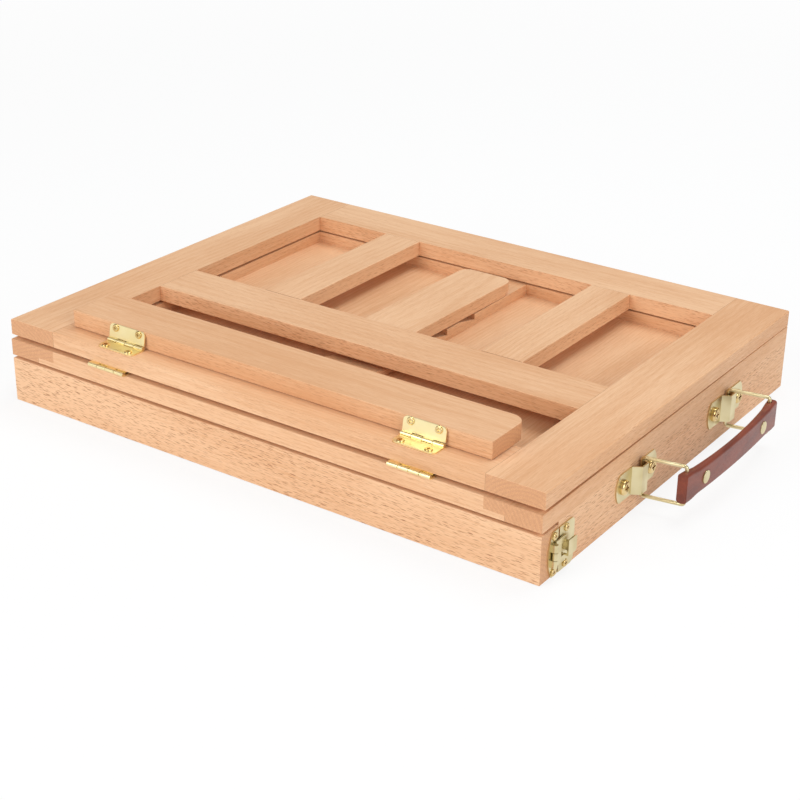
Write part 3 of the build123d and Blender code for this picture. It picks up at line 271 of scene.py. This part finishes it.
def flecks(tree, shifted, sizes):
    """Short dark spindles along the grain, one in each cell of a flat pattern."""
    length, width, half_length, half_width = sizes
    split = tree.nodes.new("ShaderNodeSeparateXYZ")
    tree.put(split.inputs[0], shifted)
    drift = tree.noise(tree.vector("MULTIPLY", shifted, (1 / 45, 1 / 20, 1 / 20)), 1.0)
    across = tree.math("MULTIPLY_ADD", split.outputs[2], FLECK_RISE, split.outputs[1])
    across = tree.math("MULTIPLY_ADD", drift, FIBRE_DRIFT, across)
    across = tree.math("MULTIPLY_ADD", split.outputs[0], FLECK_SLANT, across)
    row = tree.math("MULTIPLY", across, 1 / width)
    stagger = tree.math("MULTIPLY", row, FLECK_STAGGER)
    along = tree.math("MULTIPLY_ADD", split.outputs[0], 1 / length, stagger)
    place = tree.add("ShaderNodeCombineXYZ", along, row)
    voronoi = tree.nodes.new("ShaderNodeTexVoronoi")
    voronoi.voronoi_dimensions = "2D"
    voronoi.inputs["Scale"].default_value = 1.0
    voronoi.inputs["Randomness"].default_value = 1.0
    tree.put(voronoi.inputs["Vector"], place)
    offset = tree.nodes.new("ShaderNodeSeparateXYZ")
    tree.put(offset.inputs[0], tree.vector("SUBTRACT", place, voronoi.outputs["Position"]))
    straight = tree.math("MULTIPLY_ADD", offset.outputs[1], -FLECK_STAGGER, offset.outputs[0])
    from_middle = tree.add("ShaderNodeCombineXYZ", straight, offset.outputs[1])
    from_middle = tree.vector("MULTIPLY", from_middle, (1 / half_length, 1 / half_width, 0.0))
    shape = tree.spread(tree.vector("LENGTH", from_middle), 1.0, 0.35)
    chosen = tree.nodes.new("ShaderNodeSeparateColor")
    tree.put(chosen.inputs[0], voronoi.outputs["Color"])
    kept = tree.spread(chosen.outputs[0], 0.15, 0.6)
    bands = tree.noise(tree.vector("MULTIPLY", shifted, (1 / 60, 1 / 9, 1 / 9)), 1.0)
    kept = tree.math("MULTIPLY", kept, tree.spread(bands, 0.28, 0.52, 0.45, 1.0))
    return tree.math("MULTIPLY", shape, kept)


def seam(tree, turned, ends):
    """A fine line at both ends of a board, where it is glued to the next."""
    split = tree.nodes.new("ShaderNodeSeparateXYZ")
    tree.put(split.inputs[0], turned)
    from_middle = tree.math("ABSOLUTE", tree.math("SUBTRACT", split.outputs[0], (ends[0] + ends[1]) / 2))
    inside = tree.math("SUBTRACT", (ends[1] - ends[0]) / 2, from_middle)
    return tree.spread(inside, SEAM_WIDTH, 0.0, 0.0, SEAM_SHARE)


def beech(name, grain, tone, fleck_strength, seed):
    """Beech with broad tone, growth rings, fibres, flecks and porous end grain."""
    tree = Tree("beech_" + name)
    turned, shifted, end_on, level = grain_place(tree, grain, seed)
    broad_scale = (1 / BROAD_LENGTH, 1 / BROAD_WIDTH, 1 / BROAD_WIDTH)
    broad = tree.noise(tree.vector("MULTIPLY", shifted, broad_scale), 2.0)
    ends, middle = board_span(name, grain)
    rings = growth_rings(tree, turned, shifted, pith_of(name, middle, seed))
    fibre_scale = (1 / FIBRE_LENGTH, 1 / FIBRE_WIDTH, 1 / FIBRE_WIDTH)
    fibres = tree.noise(tree.vector("MULTIPLY", shifted, fibre_scale), 3.0, 0.6)
    spots = tree.math("MAXIMUM", flecks(tree, shifted, LARGE_FLECKS),
                      tree.math("MULTIPLY", flecks(tree, shifted, SMALL_FLECKS), SMALL_FLECK_SHARE))

    shade = tree.math("MULTIPLY_ADD", tree.math("SUBTRACT", broad, 0.5), BROAD_WEIGHT, tone)
    shade = tree.math("MULTIPLY_ADD", tree.math("SUBTRACT", rings, 0.4), RING_WEIGHT, shade)
    shade = tree.math("MULTIPLY_ADD", tree.math("SUBTRACT", fibres, 0.5), FIBRE_WEIGHT, shade)
    colour = tree.mix(tree.spread(shade, *SHADE_SPAN), BEECH_LIGHT, BEECH_DARK)
    strengths = (FLECKS_UPRIGHT * fleck_strength, FLECKS_LEVEL * fleck_strength)
    strength = tree.spread(level, 0.0, 1.0, *strengths)
    side_on = tree.math("SUBTRACT", 1.0, end_on)
    spot_share = tree.math("MULTIPLY", tree.math("MULTIPLY", spots, strength), side_on)
    colour = tree.mix(spot_share, colour, BEECH_FLECK)

    pore_place = tree.vector("MULTIPLY", shifted, (1 / FIBRE_LENGTH, 1 / PORE_SIZE, 1 / PORE_SIZE))
    pores = tree.spread(tree.noise(pore_place, 1.0), 0.62, 0.44)
    end_colour = tree.mix(tree.math("MULTIPLY", rings, END_RINGS), BEECH_DARK, BEECH_END)
    end_colour = tree.mix(tree.math("MULTIPLY", pores, END_PORES), end_colour, BEECH_FLECK)
    colour = tree.mix(tree.math("MULTIPLY", end_on, END_SHARE), colour, end_colour)
    if name.startswith(SEAMED):
        colour = tree.mix(seam(tree, turned, ends), colour, BEECH_SEAM)

    height = tree.math("MULTIPLY_ADD", spots, -0.6, fibres)
    tree.put(tree.shader.inputs["Base Color"], colour)
    tree.put(tree.shader.inputs["Roughness"], tree.spread(fibres, 0.2, 0.8, 0.44, 0.60))
    tree.put(tree.shader.inputs["Normal"], tree.bump(height, GRAIN_BUMP * MM, 0.6))
    tree.shader.inputs["Specular IOR Level"].default_value = 0.35
    return tree.material


def brass(name, light, dark, roughness):
    """Thin brass plating: a little tone drift and faint rolling marks."""
    tree = Tree(name)
    spot = spot_in_mm(tree, tree.nodes.new("ShaderNodeTexCoord"))
    drift = tree.noise(tree.vector("MULTIPLY", spot, (0.10, 0.10, 0.10)), 1.0)
    marks = tree.noise(tree.vector("MULTIPLY", spot, (0.1, 0.4, 0.4)), 1.0)
    tree.put(tree.shader.inputs["Base Color"], tree.mix(tree.spread(drift, 0.35, 0.7), light, dark))
    dull = tree.spread(marks, 0.3, 0.7, roughness, roughness + BRASS_MARKS)
    tree.put(tree.shader.inputs["Roughness"], dull)
    tree.shader.inputs["Metallic"].default_value = 1.0
    return tree.material


def grip_skin():
    """Red-brown covering with darker clouds, paler streaks and a fine pebble."""
    tree = Tree("grip_skin")
    spot = spot_in_mm(tree, tree.nodes.new("ShaderNodeTexCoord"))
    clouds = tree.noise(tree.vector("MULTIPLY", spot, (0.12, 0.05, 0.12)), 3.0)
    pebble = tree.noise(tree.vector("MULTIPLY", spot, (1.3, 1.3, 1.3)), 3.0)
    streaks = tree.noise(tree.vector("MULTIPLY", spot, (0.9, 0.08, 0.9)), 2.0)
    colour = tree.mix(tree.spread(clouds, 0.35, 0.7), GRIP_LIGHT, GRIP_DARK)
    colour = tree.mix(tree.spread(streaks, 0.45, 0.75, 0.0, 0.30), colour, GRIP_STREAK)
    tree.put(tree.shader.inputs["Base Color"], colour)
    tree.put(tree.shader.inputs["Roughness"], tree.spread(pebble, 0.3, 0.7, 0.30, 0.42))
    tree.put(tree.shader.inputs["Normal"], tree.bump(pebble, GRIP_BUMP * MM, 0.5))
    tree.shader.inputs["Coat Weight"].default_value = 0.12
    tree.shader.inputs["Coat Roughness"].default_value = 0.25
    return tree.material


def dress(frame):
    """Gives every node of the CAD model its material."""
    yellow = brass("brass_yellow", *BRASS_YELLOW)
    pale = brass("brass_pale", *BRASS_PALE)
    screw = brass("brass_screw", *BRASS_SCREW)
    skin = grip_skin()
    for seed, (name, node) in enumerate(sorted(frame["nodes"].items())):
        if name in BOARDS:
            grain, tone, fleck_strength = BOARDS[name]
            material = beech(name, grain, tone, fleck_strength, seed + 1)
        elif name == GRIP_NODE:
            material = skin
        elif name.endswith("screws"):
            material = screw
        elif name.startswith(PALE_METAL):
            material = pale
        else:
            material = yellow
        for slot in node.material_slots:
            slot.material = material


def white_to_the_eye(tree, output_input, shader, share):
    """Mixes plain white into a shader for camera, glossy and transmission rays."""
    path = tree.nodes.new("ShaderNodeLightPath")
    seen = tree.math("MAXIMUM", path.outputs["Is Camera Ray"], path.outputs["Is Glossy Ray"])
    seen = tree.math("MAXIMUM", seen, path.outputs["Is Transmission Ray"])
    glow = tree.nodes.new("ShaderNodeEmission")
    glow.inputs["Color"].default_value = (1.0, 1.0, 1.0, 1.0)
    glow.inputs["Strength"].default_value = 1.0
    mixed = tree.nodes.new("ShaderNodeMixShader")
    tree.put(mixed.inputs[0], tree.math("MULTIPLY", seen, share))
    tree.put(mixed.inputs[1], shader)
    tree.put(mixed.inputs[2], glow.outputs[0])
    tree.put(output_input, mixed.outputs[0])


def add_floor():
    """A pale floor that keeps a soft shadow under the box and turns plain white farther out."""
    bpy.ops.mesh.primitive_plane_add(size=FLOOR_SIDE, location=(0.0, 0.0, 0.0))
    floor = bpy.context.object
    floor.name = "floor"
    tree = Tree("floor_white")
    tree.shader.inputs["Base Color"].default_value = (FLOOR_GREY, FLOOR_GREY, FLOOR_GREY, 1.0)
    tree.shader.inputs["Roughness"].default_value = 0.9
    tree.shader.inputs["Specular IOR Level"].default_value = 0.0
    output = tree.nodes["Material Output"]
    place = tree.nodes.new("ShaderNodeTexCoord").outputs["Object"]
    share = tree.spread(tree.vector("LENGTH", place), FLOOR_PALES, FLOOR_WHITE, FLOOR_GLOW, 1.0)
    white_to_the_eye(tree, output.inputs["Surface"], tree.shader.outputs[0], share)
    floor.data.materials.append(tree.material)


def add_world():
    """An even, almost white surround, which the camera sees as plain white."""
    world = bpy.data.worlds.new("studio")
    world.use_nodes = True
    bpy.context.scene.world = world
    nodes, links = world.node_tree.nodes, world.node_tree.links
    soft = nodes["Background"]
    soft.inputs["Color"].default_value = SURROUND_COLOUR
    soft.inputs["Strength"].default_value = SURROUND_STRENGTH
    white = nodes.new("ShaderNodeBackground")
    white.inputs["Color"].default_value = (1.0, 1.0, 1.0, 1.0)
    path = nodes.new("ShaderNodeLightPath")
    seen = nodes.new("ShaderNodeMath")
    seen.operation = "MAXIMUM"
    links.new(path.outputs["Is Camera Ray"], seen.inputs[0])
    links.new(path.outputs["Is Transmission Ray"], seen.inputs[1])
    mixed = nodes.new("ShaderNodeMixShader")
    links.new(seen.outputs[0], mixed.inputs[0])
    links.new(soft.outputs[0], mixed.inputs[1])
    links.new(white.outputs[0], mixed.inputs[2])
    links.new(mixed.outputs[0], nodes["World Output"].inputs["Surface"])


def add_lamp(name, place, target, size, watts, colour):
    """A soft square lamp that looks at a point."""
    data = bpy.data.lights.new(name, "AREA")
    data.shape = "SQUARE"
    data.size = size
    data.energy = watts
    data.color = colour
    lamp = bpy.data.objects.new(name, data)
    lamp.location = place
    lamp.rotation_euler = (Vector(target) - Vector(place)).to_track_quat("-Z", "Y").to_euler()
    bpy.context.collection.objects.link(lamp)


def add_camera():
    """The camera, placed by turn, downward tilt and roll."""
    turn, down, roll = (math.radians(v) for v in (CAMERA_TURN, CAMERA_DOWN, CAMERA_ROLL))
    forward = Vector((math.sin(turn) * math.cos(down), math.cos(turn) * math.cos(down), -math.sin(down)))
    level_right = Vector((math.cos(turn), -math.sin(turn), 0.0))
    level_up = level_right.cross(forward)
    right = level_right * math.cos(roll) + level_up * math.sin(roll)
    up = right.cross(forward)
    data = bpy.data.cameras.new("camera")
    data.sensor_width = SENSOR_MM
    data.lens = FOCAL_PIXELS / IMAGE_SIZE * SENSOR_MM
    camera = bpy.data.objects.new("camera", data)
    turned = Matrix((right, up, -forward)).transposed().to_4x4()
    camera.matrix_world = Matrix.Translation(Vector(CAMERA_PLACE_MM) * MM) @ turned
    bpy.context.collection.objects.link(camera)
    bpy.context.scene.camera = camera


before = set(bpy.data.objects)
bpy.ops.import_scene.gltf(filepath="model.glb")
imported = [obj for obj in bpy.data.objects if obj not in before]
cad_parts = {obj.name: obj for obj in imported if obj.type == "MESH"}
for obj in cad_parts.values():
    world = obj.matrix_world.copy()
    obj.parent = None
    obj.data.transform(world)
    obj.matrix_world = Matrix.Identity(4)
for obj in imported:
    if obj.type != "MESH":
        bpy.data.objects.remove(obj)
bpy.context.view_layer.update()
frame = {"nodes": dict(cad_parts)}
dress(frame)
add_floor()
add_world()
for lamp_name, settings in LAMPS.items():
    add_lamp(lamp_name, *settings)
add_camera()
bpy.context.scene.view_settings.view_transform = "Standard"
